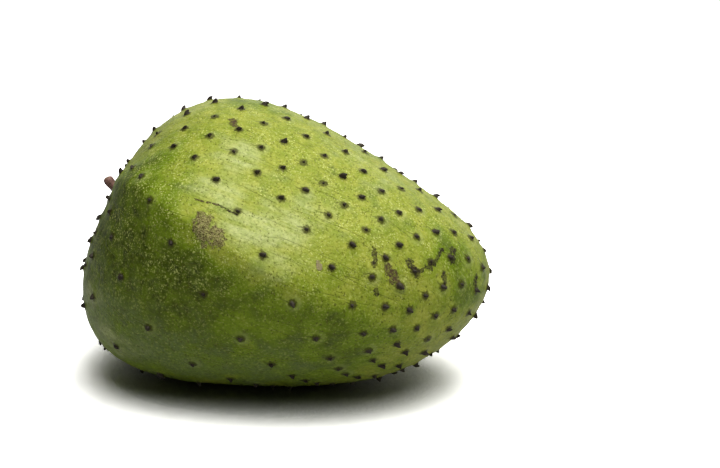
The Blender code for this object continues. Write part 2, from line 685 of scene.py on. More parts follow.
def store(mesh: bpy.types.Mesh, name: str, values: Array) -> None:
    """Keeps a number or a vector for each of the mesh's points.

    Args:
        mesh: The mesh.
        name: The attribute's name.
        values: One row for each point.
    """
    kind, key = ("FLOAT_VECTOR", "vector") if values.ndim == 2 else ("FLOAT", "value")
    mesh.attributes.new(name, kind, "POINT").data.foreach_set(key, values.astype(np.float32).ravel())


def grow(host: Piece, tree: Tree, name: str, sizes: dict[str, Value]) -> Piece:
    """Runs a Geometry Nodes tree on an object and keeps the result as a plain mesh.

    Args:
        host: The object that the tree starts from; it is removed.
        tree: The tree.
        name: The name of the finished piece.
        sizes: The tree's inputs by name.

    Returns:
        The finished piece, at the origin.
    """
    modifier = host.modifiers.new(name, "NODES")
    modifier.node_group = tree
    for item in tree.interface.items_tree:
        if item.in_out == "INPUT" and item.name in sizes:
            modifier[item.identifier] = sizes[item.name]
    evaluated = host.evaluated_get(bpy.context.evaluated_depsgraph_get())
    mesh = bpy.data.meshes.new_from_object(evaluated)
    mesh.name = name
    made = add_object(name, mesh)
    bpy.data.objects.remove(host)
    return made


# ---- Spines ----


class Horn(Enum):
    """The shapes of a spine, as (height, hook, bluntness) shares of its full size."""

    HOOKED = (1.0, 1.0, 0.22)
    CURLED = (0.8, 1.35, 0.18)
    UPRIGHT = (0.95, 0.45, 0.30)
    STUBBY = (0.7, 0.7, 0.45)
    WORN = (0.5, 0.35, 0.6)


@dataclass
class SpineField:
    """The short hooked spines, on a golden-angle spiral stretched as the skin grew."""

    drop: Drop
    count: int = 330
    stretches: tuple[Spot, ...] = (Spot(72, -172, 0.9, 36), Spot(24, -160, -0.5, 32))
    base_radius: float = 0.0017
    height: float = 0.0018
    hook: float = 0.0012
    root: float = 0.0008
    bare_at_stem: float = 9.0
    # A spine whose point, this far out at full height, would hang below the lowest has worn away.
    full_height: float = 0.0024
    lowest: float = 0.0024
    usual_vigour: float = 0.96
    vigour_spread: float = 0.18
    vigour_range: Span = (0.55, 1.3)
    lean: Triple = (0.16, 0.14, 0.5)
    knee: Span = (-0.1, 0.95)
    narrowing: float = 0.62
    girth: Triple = (1.18, 0.92, 1.0)
    rings: int = 6
    sides: int = 8
    seed: int = 11
    roots: Piece = field(init=False)

    def directions(self) -> Array:
        """Directions of the spines.

        Returns:
            Unit vectors, one a row.
        """
        number = np.arange(self.count)
        along = 1.0 - (2.0 * number + 1.0) / self.count
        ring, spiral = np.sqrt(1.0 - along**2), number * GOLDEN_ANGLE
        moved = np.stack([-along, ring * np.cos(spiral), ring * np.sin(spiral)], -1)
        for stretch in self.stretches:
            off = angle_between(moved, stretch.middle())
            further = np.radians(off * stretch.cover(moved))[:, None]
            axis = unit(np.cross(stretch.middle(), moved))
            moved = moved * np.cos(further) + np.cross(axis, moved) * np.sin(further)
        return moved[angle_between(moved, STEM_POLE) > self.bare_at_stem]

    def lay_roots(self) -> Piece:
        """Marks where each spine stands, and how.

        Returns:
            An object of loose points with the attributes outward, tipward, vigour and mood.
        """
        points, normals, tipward = self.drop.frames(self.directions())
        height = points[:, 2]
        standing = (height > self.lowest) & (height + self.full_height * normals[:, 2] > self.lowest)
        points, normals, tipward = points[standing], normals[standing], tipward[standing]
        mesh = bpy.data.meshes.new("spine_roots")
        mesh.from_pydata(points.tolist(), [], [])
        store(mesh, "outward", normals)
        store(mesh, "tipward", tipward)
        chance = np.random.default_rng(self.seed)
        vigour = chance.normal(self.usual_vigour, self.vigour_spread, len(points))
        store(mesh, "vigour", np.clip(vigour, *self.vigour_range))
        store(mesh, "mood", chance.uniform(0.0, 1.0, len(points)))
        self.roots = add_object("spine_roots", mesh)
        return self.roots

    def _tree(self, sizes: dict[str, Value]) -> Tree:
        """The tree that stands a horn on every root.

        Args:
            sizes: What its inputs will be set to, by name.

        Returns:
            A Geometry Nodes tree.
        """
        weave, takes, out = shape_group("grow_spines", sizes)
        horns = weave.add("GeometryNodeJoinGeometry")
        for horn in reversed(Horn):
            weave.tree.links.new(self._horn(weave, takes, horn), horns.inputs[0])
        stand = weave.add(
            "FunctionNodeAxesToRotation",
            {"primary_axis": "Z", "secondary_axis": "X"},
            Primary_Axis=weave.kept("outward"),
            Secondary_Axis=weave.kept("tipward"),
        )
        lean = weave.add(
            "FunctionNodeRandomValue",
            {"data_type": "FLOAT_VECTOR"},
            Min=[-most for most in self.lean],
            Max=self.lean,
            Seed=takes["Seed"],
        )
        lean = weave.add("FunctionNodeEulerToRotation", Euler=lean.outputs[0])
        turned = weave.add(
            "FunctionNodeRotateRotation",
            {"rotation_space": "LOCAL"},
            Rotation=stand.outputs[0],
            Rotate_By=lean.outputs[0],
        )
        other_seed = weave.plus(takes["Seed"], 1.0)
        last = len(Horn) - 1
        chosen = weave.add("FunctionNodeRandomValue", {"data_type": "INT"}, Min=0, Max=last, Seed=other_seed)
        stood = weave.add(
            "GeometryNodeInstanceOnPoints",
            Points=takes["Geometry"],
            Instance=horns.outputs[0],
            Pick_Instance=True,
            Instance_Index=chosen.outputs[2],
            Rotation=turned.outputs[0],
            Scale=weave.scale((1.0, 1.0, 1.0), weave.kept("vigour", "FLOAT")),
        )
        return weave.end(stood.outputs[0], takes["Finish"], out)

    def _horn(self, weave: Weave, takes: dict[str, Signal], horn: Horn) -> Signal:
        """One shape of horn, its foot below the origin and its point leaning along +X.

        Args:
            weave: The tree it is made in.
            takes: The tree's inputs.
            horn: Its shape.

        Returns:
            The horn as one instance.
        """
        rise, reach, blunt = horn.value
        top = weave.times(takes["Height"], rise)
        tip = weave.times(takes["Hook"], reach)
        knee_ahead, knee_up = self.knee
        spine = weave.add(
            "GeometryNodeCurveQuadraticBezier",
            Resolution=self.rings,
            Start=weave.bundle(Z=weave.times(takes["Root Depth"], -1.0)),
            Middle=weave.bundle(X=weave.times(tip, knee_ahead), Z=weave.times(top, knee_up)),
            End=weave.bundle(X=tip, Z=top),
        )
        share = weave.add("GeometryNodeSplineParameter").outputs["Factor"]
        taper = weave.math("POWER", weave.minus(1.0, share), self.narrowing)
        profile = weave.add(
            "GeometryNodeCurvePrimitiveCircle", Resolution=self.sides, Radius=takes["Base Radius"]
        )
        swept = weave.add(
            "GeometryNodeCurveToMesh",
            Curve=weave.keep(spine.outputs[0], "spine_rise", share, "FLOAT"),
            Profile_Curve=profile.outputs[0],
            Scale=weave.math("MAXIMUM", taper, blunt),
            Fill_Caps=True,
        )
        shaped = weave.add("GeometryNodeTransform", Geometry=swept.outputs[0], Scale=self.girth)
        return weave.add("GeometryNodeGeometryToInstance", Geometry=shaped.outputs[0]).outputs[0]

    def build(self, finish: Material) -> Piece:
        """Grows the spines on their roots, which stay for the skin's mounds.

        Args:
            finish: The spines' material.

        Returns:
            The spines as one piece.
        """
        sizes = {
            "Base Radius": self.base_radius,
            "Height": self.height,
            "Hook": self.hook,
            "Root Depth": self.root,
            "Seed": self.seed,
            "Finish": finish,
        }
        host = add_object("spine_bed", self.roots.data.copy())
        return grow(host, self._tree(sizes), "spines", sizes)


# ---- Skin ----


class ScarKind(Enum):
    """The kinds of healed scar, each as its colour."""

    DARK = (0.026, 0.014, 0.017)
    BROWN = (0.080, 0.044, 0.034)
    PALE = (0.33, 0.25, 0.17)
    NETTED = (0.34, 0.29, 0.13)


@dataclass(frozen=True)
class Scar:
    """A healed scar from one place of the skin to another, in degrees from the stem and round."""

    kind: ScarKind
    start: Span
    end: Span
    radius: float

    def nearness(self, drop: Drop, points: Array) -> Array:
        """How near points are to the scar.

        Args:
            drop: The body.
            points: The points, one a row.

        Returns:
            1 on the scar's middle line, 0 at its edge and less beyond it, down to -1.
        """
        start, end = drop.points(np.stack([direction_at(*self.start), direction_at(*self.end)]))
        reach = end - start
        along = np.clip((points - start) @ reach / (reach @ reach), 0.0, 1.0)
        away = np.linalg.norm(points - start - np.outer(along, reach), axis=1)
        return np.clip(1.0 - away / self.radius, -1.0, 1.0)


@dataclass
class Skin:
    """The fruit's skin: a fine cube-sphere shaped into the drop, with mounds under the spines."""

    drop: Drop
    cells: int = 126
    tile_margin: float = 0.004
    mound_height: float = 0.0007
    mound_radius: float = 0.0046
    mound_peak: float = 1.6
    ripple_height: float = 0.0012
    ripple_size: float = 0.012
    crumple_height: float = 0.0005
    crumple_size: float = 0.0045
    crumple_regions: float = 28.0
    crumple_fade: Span = (0.42, 0.62)
    smoothest: float = 0.25
    flat_rounding: float = 0.0015
    # How much painted shade lies under the crest, by degrees below it and by degrees from the stem, and
    # how many degrees higher the painted shade starts towards the tip.
    shade_below: Curve = ((1.0, 13.0, 50.0, 95.0), (0.0, 1.0, 1.0, 0.0))
    shade_along: Curve = ((15.0, 32.0, 72.0, 92.0, 118.0, 155.0), (0.0, 1.0, 0.95, 0.5, 0.65, 0.0))
    shade_rise: Curve = ((85.0, 125.0), (0.0, 11.0))
    scars: tuple[Scar, ...] = (
        Scar(ScarKind.NETTED, (68.5, 155.5), (72.0, 160.5), 0.0050),
        Scar(ScarKind.NETTED, (74.0, 158.0), (75.5, 160.5), 0.0042),
        Scar(ScarKind.BROWN, (62.5, 149.5), (69.5, 148.5), 0.0006),
        Scar(ScarKind.DARK, (69.5, 148.5), (75.5, 149.5), 0.0006),
        Scar(ScarKind.DARK, (124, 136.5), (129, 139.5), 0.0021),
        Scar(ScarKind.DARK, (129, 137), (130.5, 132.5), 0.0012),
        Scar(ScarKind.DARK, (130.4, 133.2), (130.8, 132.2), 0.0021),
        Scar(ScarKind.DARK, (131.8, 129), (131.2, 117.5), 0.0014),
        Scar(ScarKind.DARK, (134.6, 111.8), (135, 113), 0.0023),
        Scar(ScarKind.DARK, (136.6, 117), (137, 119), 0.0022),
        Scar(ScarKind.BROWN, (119.5, 144.5), (123, 148), 0.0031),
        Scar(ScarKind.BROWN, (124.5, 148.5), (126.5, 150), 0.0021),
        Scar(ScarKind.DARK, (138, 129.5), (140, 133), 0.0022),
        Scar(ScarKind.DARK, (112.5, 139), (115, 146), 0.0016),
        Scar(ScarKind.PALE, (101.5, 155), (102, 156), 0.0020),
        Scar(ScarKind.DARK, (151, 107), (153, 112), 0.0020),
        Scar(ScarKind.DARK, (119.7, 156.5), (120.3, 157.5), 0.0016),
        Scar(ScarKind.BROWN, (55.5, 104.5), (57, 108), 0.0022),
        Scar(ScarKind.NETTED, (84, 22), (92, 30), 0.0056),
        Scar(ScarKind.BROWN, (50, -72), (56, -66), 0.0034),
        Scar(ScarKind.DARK, (110, -40), (116, -31), 0.0015),
        Scar(ScarKind.DARK, (128, 30), (131, 46), 0.0014),
        Scar(ScarKind.BROWN, (66, 62), (67, 65), 0.0026),
        Scar(ScarKind.DARK, (98, -112), (100, -104), 0.0017),
    )
    collar: Scar = Scar(ScarKind.BROWN, (0.5, 90), (0.6, 90), 0.0085)
    # Spots of pale wax bloom with painted sheen: the pale patches near the crest and along the lower left
    # edge stand for reflections of the bright room.
    wax_and_painted_sheen: tuple[Spot, ...] = (
        Spot(80, 153, 0.9, 8), Spot(86, 148, 1.0, 9), Spot(91, 160, 0.7, 6), Spot(67, 141, 0.75, 8),
        Spot(64, 124, 0.7, 9), Spot(95, 156, 0.45, 6), Spot(92, 137, 0.45, 10), Spot(41, 213, 0.5, 7),
        Spot(56, 221, 0.5, 10), Spot(96, 92, 0.4, 14), Spot(60, 40, 0.7, 12), Spot(88, -30, 0.6, 14),
        Spot(120, 10, 0.5, 12),
    )
    # Spots of painted reflection: grey-green, mostly on the lower flank, where the skin reflects the floor
    # and room.
    painted_reflection: tuple[Spot, ...] = (
        Spot(52, 210, 1.0, 10), Spot(66, 212, 1.0, 14), Spot(82, 216, 1.0, 16),
        Spot(104, 214, 0.8, 18), Spot(98, 118, 0.35, 10), Spot(70, -80, 0.6, 20),
    )
    # Spots of painted shade, where the skin is painted deep green.
    painted_shade: tuple[Spot, ...] = (
        Spot(38, 184, 1.35, 20), Spot(54, 183, 1.2, 16), Spot(68, 198, 1.0, 22),
        Spot(84, 205, 0.8, 18), Spot(118, 194, 0.8, 16), Spot(34, 158, 0.75, 10),
        Spot(40, 140, 0.6, 7), Spot(42, 122, 0.3, 9), Spot(112, -170, 0.55, 22),
        Spot(137, 114, 0.5, 11), Spot(150, 118, 0.5, 12), Spot(75, -60, 0.6, 30),
        Spot(40, -20, 0.5, 24), Spot(100, 60, 0.35, 14), Spot(60, 80, 0.3, 12),
    )

    def _blank(self) -> Piece:
        """The drop's plain surface, with a map of six tiles, one for each side of the cube.

        Returns:
            The object, whose attribute skin_lie says how far along and how far round a point lies.
        """
        grid = bmesh.new()
        bmesh.ops.create_cube(grid, size=2.0)
        bmesh.ops.subdivide_edges(grid, edges=grid.edges[:], cuts=self.cells - 1, use_grid_fill=True)
        mesh = plain_mesh("skin_blank", grid)
        cube = np.empty(len(mesh.vertices) * 3)
        mesh.vertices.foreach_get("co", cube)
        cube = cube.reshape(-1, 3)
        corner = np.empty(len(mesh.loops), dtype=int)
        mesh.loops.foreach_get("vertex_index", corner)
        self._lay_map(mesh, cube[corner])
        directions = unit(np.tan(cube * pi / 4.0))
        points = self.drop.points(directions)
        mesh.vertices.foreach_set("co", points.astype(np.float32).ravel())
        self._mark(mesh, directions, points)
        mesh.update()
        return add_object("skin_blank", mesh)

    def _mark(self, mesh: bpy.types.Mesh, directions: Array, points: Array) -> None:
        """Stores where each point lies, how near it is to a scar, and how much wax bloom with painted sheen,
        painted reflection and painted shade it has.

        Args:
            mesh: The skin's mesh.
            directions: The points' directions.
            points: The points.
        """
        along = np.arccos(np.clip(-directions[:, 0], -1.0, 1.0))
        around = unit(directions[:, 1:] + 1e-6)
        store(mesh, "skin_lie", self.drop.half_width * np.column_stack([along, around]))
        for kind in ScarKind:
            alike = [scar for scar in (*self.scars, self.collar) if scar.kind is kind]
            near = np.max([scar.nearness(self.drop, points) for scar in alike], axis=0)
            store(mesh, kind.name.lower(), near)
        shares = {
            name: [spot.cover(directions) for spot in spots]
            for name, spots in (("wax_and_painted_sheen", self.wax_and_painted_sheen), ("painted_reflection", self.painted_reflection), ("painted_shade", self.painted_shade))
        }
        shares["painted_shade"].append(self._shade_under_crest(directions))
        for name, share in shares.items():
            store(mesh, name, np.max(share, axis=0))

    def _shade_under_crest(self, directions: Array) -> Array:
        """How much painted shade each direction gets under the crest on its lower side.

        Args:
            directions: Unit directions, one a row.

        Returns:
            0 above the crest, up to 1 just under it, and 0 again near the tip.
        """
        from_stem = angle_between(directions, STEM_POLE)
        off = self.drop.crest.past(from_stem, directions) + np.interp(from_stem, *self.shade_rise)
        return np.interp(off, *self.shade_below) * np.interp(from_stem, *self.shade_along)

    def _lay_map(self, mesh: bpy.types.Mesh, corners: Array) -> None:
        """Lays the cube's six sides side by side on the map, three across and two up.

        Args:
            mesh: The gridded cube's mesh.
            corners: The place on the cube of each face corner.
        """
        middles = np.repeat(corners.reshape(-1, 4, 3).mean(axis=1), 4, axis=0)
        axis = np.abs(middles).argmax(axis=1)
        row = np.arange(len(corners))
        upper = middles[row, axis] > 0.0
        across = corners[row, (axis + 1) % 3] * np.where(upper, 1.0, -1.0)
        up = corners[row, (axis + 2) % 3]
        tile = np.stack([(across + 1.0) / 2.0, (up + 1.0) / 2.0], -1)
        shrunk = self.tile_margin + (1.0 - 2.0 * self.tile_margin) * tile
        place = (shrunk + np.stack([axis, upper], -1)) / np.array([3.0, 2.0])
        mesh.uv_layers.new(name="OFBake").data.foreach_set("uv", place.astype(np.float32).ravel())

    def _tree(self, sizes: dict[str, Value]) -> Tree:
        """The tree that raises the mounds and the unevenness of the skin.

        Args:
            sizes: What its inputs will be set to, by name.

        Returns:
            A Geometry Nodes tree.
        """
        weave, takes, out = shape_group("raise_skin", sizes)
        position = weave.add("GeometryNodeInputPosition").outputs[0]
        normal = weave.add("GeometryNodeInputNormal").outputs[0]
        roots = weave.add("GeometryNodeObjectInfo", Object=takes["Spine Roots"]).outputs["Geometry"]
        nearest = weave.add(
            "GeometryNodeSampleNearest", {"domain": "POINT"}, Geometry=roots, Sample_Position=position
        ).outputs[0]

        def at_root(value: Signal, kind: str = "FLOAT_VECTOR") -> Signal:
            """Reads a value at the nearest spine's root.

            Args:
                value: The value.
                kind: Its data type.

            Returns:
                The root's value.
            """
            sort = {"data_type": kind, "domain": "POINT"}
            node = weave.add("GeometryNodeSampleIndex", sort, Geometry=roots, Value=value, Index=nearest)
            return node.outputs[0]

        off = weave.vector("SUBTRACT", position, at_root(position))
        away = weave.vector("LENGTH", off)
        tipward = at_root(weave.kept("tipward"))
        sideways = weave.vector("CROSS_PRODUCT", at_root(weave.kept("outward")), tipward)
        ahead, aside = (weave.vector("DOT_PRODUCT", off, way) for way in (tipward, sideways))
        marked = weave.keep(takes["Geometry"], "spine_place", weave.bundle(X=ahead, Y=aside, Z=away))
        marked = weave.keep(marked, "mood", at_root(weave.kept("mood", "FLOAT"), "FLOAT"), "FLOAT")
        mound = weave.ease(away, 0.0, takes["Mound Radius"], 1.0, 0.0)
        mound = weave.times(weave.math("POWER", mound, self.mound_peak), takes["Mound Height"])
        mound = weave.times(mound, at_root(weave.kept("vigour", "FLOAT"), "FLOAT"))
        ripple = weave.noise(position, weave.math("DIVIDE", 1.0, takes["Ripple Size"]), 2.0, 0.45)
        ripple = weave.times(weave.swing(ripple), takes["Ripple Height"])
        crumple = weave.noise(position, weave.math("DIVIDE", 1.0, takes["Crumple Size"]), 1.0)
        crumple = weave.math("ABSOLUTE", weave.swing(crumple))
        where = weave.noise(position, self.crumple_regions, 1.0)
        crumple = weave.times(crumple, weave.ease(where, *self.crumple_fade, self.smoothest, 1.0))
        crumple = weave.times(crumple, takes["Crumple Height"])
        lift = weave.minus(weave.plus(mound, ripple), crumple)
        x, y, z = weave.split(weave.vector("ADD", position, weave.scale(normal, lift)))
        seated = weave.bundle(X=x, Y=y, Z=weave.math("SMOOTH_MAX", z, 0.0, takes["Flat Rounding"]))
        moved = weave.add("GeometryNodeSetPosition", Geometry=marked, Position=seated)
        return weave.end(moved.outputs[0], takes["Finish"], out)

    def build(self, roots: Piece, finish: Material) -> Piece:
        """Builds the skin round the spines' roots.

        Args:
            roots: The points that the spines stand on.
            finish: The skin's material.

        Returns:
            The skin.
        """
        sizes = {
            "Spine Roots": roots,
            "Mound Height": self.mound_height,
            "Mound Radius": self.mound_radius,
            "Ripple Height": self.ripple_height,
            "Ripple Size": self.ripple_size,
            "Crumple Height": self.crumple_height,
            "Crumple Size": self.crumple_size,
            "Flat Rounding": self.flat_rounding,
            "Finish": finish,
        }
        return grow(self._blank(), self._tree(sizes), "skin", sizes)


# ---- Stem ----


@dataclass
class StemStub:
    """The stub of the stem: a bent woody peg with a flared foot, lengthwise ridges and a torn end."""

    drop: Drop
    reach: float = 0.0088
    rise: float = 0.0034
    gap: float = 0.0003
    foot_radius: float = 0.0036
    neck_radius: float = 0.0023
    end_radius: float = 0.0025
    rings: int = 56
    sides: int = 48
    ridge_waves: tuple[int, ...] = (3, 5, 8, 13)
    ridge_share: float = 0.016
    twist: float = 0.8
    torn_from: float = 0.97
    torn_height: float = 0.0001
    pith_height: float = 0.0002
    seed: int = 5

    def _radius(self, share: Array) -> Array:
        """The stem's radius at each share of its length, in metres.

        Args:
            share: From 0 at the foot to 1 at the end.

        Returns:
            The radii.
        """
        stations = (0.0, 0.1, 0.25, 0.5, 0.75, 0.88, 0.95, 0.985, 1.0)
        foot, neck, end = self.foot_radius, self.neck_radius, self.end_radius
        radii = (foot, 0.8 * foot, 1.1 * neck, neck, 1.02 * end, end, 0.88 * end, 0.66 * end, 0.4 * end)
        return np.interp(share, stations, radii)

    def build(self, finish: Material) -> Piece:
        """Sweeps the stem along its bent middle line and closes both ends.

        Args:
            finish: The bark.

        Returns:
            The stem.
        """
        point, normal, upward = (row[0] for row in self.drop.frames(direction_at(1.0, 90.0)[None]))
        share = np.linspace(0.0, 1.0, self.rings)
        middle = point + np.outer(self.gap + share * self.reach, normal)
        middle += np.outer(share**2 * self.rise, upward)
        ahead = unit(self.reach * normal + np.outer(2.0 * share * self.rise, upward))
        side = unit(np.cross(upward, normal))
        across = np.cross(ahead, side)
        turn = np.linspace(0.0, 2.0 * pi, self.sides, endpoint=False)
        chance = np.random.default_rng(self.seed)
        twist = self.twist * share[:, None]
        ribs = sum(
            chance.uniform(0.4, 1.0) * np.cos(wave * turn[None, :] + chance.uniform(0, 2 * pi) + twist)
            for wave in self.ridge_waves
        )
        radius = self._radius(share)[:, None] * (1.0 + self.ridge_share * ribs)
        round_middle = np.cos(turn)[None, :, None] * side + np.sin(turn)[None, :, None] * across[:, None, :]
        torn = self.torn_height * (share[:, None] > self.torn_from)
        torn = torn * np.sin(3 * turn + 1.0) * np.cos(7 * turn)
        points = middle[:, None, :] + radius[..., None] * round_middle + torn[..., None] * ahead[:, None, :]
        shape = bmesh.new()
        rows = [[shape.verts.new(Vector(spot)) for spot in row] for row in points]
        foot = shape.verts.new(Vector(middle[0]))
        pith = shape.verts.new(Vector(middle[-1] + self.pith_height * ahead[-1]))
        beside = [(number, (number + 1) % self.sides) for number in range(self.sides)]
        for low, high in zip(rows, rows[1:]):
            for this, that in beside:
                shape.faces.new((low[this], low[that], high[that], high[this]))
        for this, that in beside:
            shape.faces.new((foot, rows[0][that], rows[0][this]))
            shape.faces.new((pith, rows[-1][this], rows[-1][that]))
        bmesh.ops.recalc_face_normals(shape, faces=shape.faces[:])
        mesh = plain_mesh("stem_stub", shape)
        store(mesh, "stem_share", np.append(np.repeat(share, self.sides), [0.0, 1.0]))
        mesh.shade_smooth()
        mesh.materials.append(finish)
        return add_object("stem_stub", mesh)


# ---- Finishes ----


@dataclass(frozen=True)
class SkinFinish:
    """The waxy yellow-green skin with its specks, flecks, fine lines and corky scars, and painted shade,
    sheen and reflection.
    """

    ripe: Triple = (0.42, 0.44, 0.066)
    green: Triple = (0.165, 0.250, 0.010)
    # Deep green painted as shade under the crest and on the flank.
    shade_green: Triple = (0.020, 0.033, 0.0005)
    # Pale wax bloom, also painted as sheen.
    bloom_and_sheen: Triple = (0.54, 0.59, 0.25)
    # Grey-green painted reflection of the floor and room.
    dust_and_reflection: Triple = (0.150, 0.208, 0.065)
    speck: Triple = (0.66, 0.71, 0.22)
    fleck: Triple = (0.085, 0.095, 0.008)
    crease: Triple = (0.11, 0.13, 0.016)
    # Dark ring at each spine's foot, partly its own brown ring and partly painted shadow.
    foot: Triple = (0.045, 0.042, 0.010)
    squiggle: Triple = (0.055, 0.040, 0.014)
    gloss: float = 0.25
    gloss_tint: Triple = (0.80, 0.90, 0.30)
    dull: float = 0.34
    relief: float = 0.7
    relief_depth: float = 0.0007
    pore_scale: float = 1100.0
    dent_scale: float = 300.0
    cork_scale: float = 1500.0
    streak_scale: float = 260.0
    streak_lie: Triple = (0.2, 1.0, 1.0)
    crease_lie: Triple = (0.13, 1.0, 1.0)
    speck_heights: Span = (0.040, 0.095)
    halo_start: Span = (0.0019, 0.0028)
    halo_end: Span = (0.0030, 0.0056)
    halo_ahead: Span = (-0.003, 0.003)
    halo_share: float = 0.20
    tail_width: Span = (0.0001, 0.0005)
    tail_waver: float = 0.0016
    tail_behind: Span = (-0.003, -0.0015)
    tail_longer: float = -0.0055
    tail_before: Span = (0.0050, 0.002)
    foot_fade: Span = (0.0015, 0.0029)
    foot_ragged: float = 0.0012
    scar_scale: float = 430.0
    scar_ragged: float = 3.1
    scar_edge: Span = (0.08, 0.42)
    net_bent: float = 2.2
    net_line: Span = (0.01, 0.09)
    regions: Blotches = Blotches(0.012, 3.0, 0.7)
    patches: Blotches = Blotches(0.0065, 3.0, 1.3, 0.31)
    spotting: Blotches = Blotches(0.0024, 2.0, 1.2, 0.05)
    grain: Blotches = Blotches(0.0012, 3.0, 0.8, 0.47)
    dullness: Blotches = Blotches(0.009, 3.0, 0.7, 0.67)
    speck_crowds: Blotches = Blotches(0.011, 3.0, 1.3, 0.59)
    fleck_crowds: Blotches = Blotches(0.013, 2.0, 0.9, 0.23)
    crumbs: Blotches = Blotches(0.0013, 2.0, 1.3, 0.9)
    wavering: Blotches = Blotches(0.005, 2.0, 0.6, 0.23)
    foot_edge: Blotches = Blotches(0.0014, 2.0, 0.7, 0.61)
    upright_dashes: Specks = Specks(0.0012, 0.00080, 0.62, 0.0, (1.0, 1.0, 0.6))
    lying_dashes: Specks = Specks(0.0012, 0.00076, 0.55, 0.37, (0.6, 1.0, 1.0))
    tiny_specks: Specks = Specks(0.0009, 0.0006, 0.7, 0.71)
    # Dark dashes painted as the shaded side of raised specks.
    speck_shade_dashes: Specks = Specks(0.0013, 0.00085, 0.62, 0.0005, (1.0, 1.0, 0.6))
    lone_flecks: Specks = Specks(0.0016, 0.0009, 0.5, 0.83)

    def make(self, effects: Effects) -> Material:
        """Makes the skin's material.

        Args:
            effects: The shared groups.

        Returns:
            The material.
        """
        brush = Brush("soursop_skin", effects, self.green)
        brush.shader.inputs["Specular IOR Level"].default_value = self.gloss
        brush.shader.inputs["Specular Tint"].default_value = (*self.gloss_tint, 1.0)
        weave = brush.weave
        self._lay_ground(brush)
        creases = self._draw_creases(brush)
        specks, flecks = self._scatter_specks(brush)
        tails = self._mark_spines(brush)
        hurt = self._scar(brush)
        rough = weave.onto(self.dull, brush.mottle(self.dullness), 0.14)
        rough = weave.onto(rough, specks, 0.10)
        rough = weave.math("MULTIPLY_ADD", hurt, 0.35, rough, clamp=True)
        pores = weave.noise(brush.coords, self.pore_scale, 3.0, 0.6)
        dents = weave.noise(brush.coords, self.dent_scale)
        cork = weave.noise(brush.coords, self.cork_scale)
        height = weave.onto(weave.times(dents, 0.8), pores, 0.30)
        for mask, share in ((specks, 0.22), (flecks, -0.22), (creases, -0.55), (tails, -0.45)):
            height = weave.onto(height, mask, share)
        height = weave.onto(height, weave.times(hurt, cork), 1.6)
        return brush.finish(rough, height, self.relief, self.relief_depth)

    def _lay_ground(self, brush: Brush) -> None:
        """Lays the ground: yellow-green on the open skin, and deep green as painted shade under the crest
        and on the flank.

        Args:
            brush: The material.
        """
        weave = brush.weave
        wander = weave.swing(brush.mottle(self.regions))
        # The shade is painted: the skin turns deep green where the mesh marks painted shade.
        shade = weave.onto(brush.attribute("painted_shade"), wander, 0.5)
        brush.paint(weave.ease(shade, 0.0, 0.5, 0.9, 0.0), self.ripe)
        brush.paint(weave.ease(weave.onto(shade, wander, 0.6), 0.3, 1.05), self.shade_green)
        patches = weave.times(brush.mottle(self.patches), weave.ease(shade, 0.4, 1.1, 0.5, 0.35))
        brush.paint(patches, self.green)
        # Painted reflection: grey-green patches, mostly on the lower flank.
        dust_and_reflection = weave.onto(brush.attribute("painted_reflection"), wander, 1.1)
        brush.paint(weave.ease(dust_and_reflection, 0.1, 1.1), self.dust_and_reflection, 0.8)
        # Pale streaks of wax bloom with painted sheen.
        wax_and_sheen = weave.ease(weave.onto(brush.attribute("wax_and_painted_sheen"), wander, 0.5), 0.15, 0.8)
        lie = weave.vector("MULTIPLY", brush.attribute("skin_lie", "Vector"), self.streak_lie)
        streaks = weave.ease(weave.noise(lie, self.streak_scale, 3.0, 0.6), 0.3, 0.62, 0.25, 1.0)
        brush.paint(weave.times(wax_and_sheen, streaks), self.bloom_and_sheen, 0.9)
        brush.paint(brush.mottle(self.spotting), self.green, 0.36)
        grain = brush.mottle(self.grain)
        brush.paint(weave.ease(grain, 0.55, 1.0), self.fleck, 0.50)
        brush.paint(weave.ease(grain, 0.40, 0.0), self.speck, 0.34)

    def _draw_creases(self, brush: Brush) -> Signal:
        """Draws the fine creases that run along the fruit from stem to tip.

        Args:
            brush: The material.

        Returns:
            Where the creases are.
        """
        weave = brush.weave
        lie = weave.vector("MULTIPLY", brush.attribute("skin_lie", "Vector"), self.crease_lie)
        found: Value = 0.0
        for scale, width, patch, strength in ((110.0, 0.012, 0.022, 1.0), (300.0, 0.022, 0.012, 0.4)):
            off = weave.math("ABSOLUTE", weave.swing(weave.noise(lie, scale)))
            line = weave.ease(off, 0.0, width, strength, 0.0)
            line = weave.times(line, brush.mottle(Blotches(patch, 2.0, 1.2, 0.41)))
            found = weave.math("MAXIMUM", line, found)
        brush.paint(found, self.crease, 0.5)
        return found

    def _scatter_specks(self, brush: Brush) -> tuple[Signal, Signal]:
        """Scatters the pale specks, drawn out into dashes, and the dark flecks, among them dashes of painted
        shade for the specks' shaded sides.

        Args:
            brush: The material.

        Returns:
            Where the specks are, and where the flecks are.
        """
        weave = brush.weave
        thick = weave.ease(brush.mottle(self.speck_crowds), 0.0, 1.0, 0.12, 1.0)
        thick = weave.times(thick, weave.ease(brush.attribute("wax_and_painted_sheen"), 0.2, 0.9, 1.0, 0.3))
        height = weave.split(brush.coords)[2]
        thick = weave.times(thick, weave.ease(height, *self.speck_heights, 0.12, 1.0))
        dashes = weave.math("MAXIMUM", brush.specks(self.upright_dashes), brush.specks(self.lying_dashes))
        specks = weave.math("MAXIMUM", dashes, weave.times(brush.specks(self.tiny_specks), 0.7))
        specks = weave.times(specks, thick)
        dark = weave.ease(brush.mottle(self.fleck_crowds), 0.0, 1.0, 0.35, 1.0)
        # Dark flecks are thicker where shade is painted.
        dark = weave.onto(dark, brush.attribute("painted_shade"), 0.4)
        # Some dark dashes are painted shade standing for the shaded sides of raised specks.
        flecks = weave.math("MAXIMUM", brush.specks(self.lone_flecks), brush.specks(self.speck_shade_dashes))
        flecks = weave.math("MULTIPLY", flecks, dark, clamp=True)
        brush.paint(flecks, self.fleck, 0.8)
        brush.paint(specks, self.speck, 0.8)
        return specks, flecks

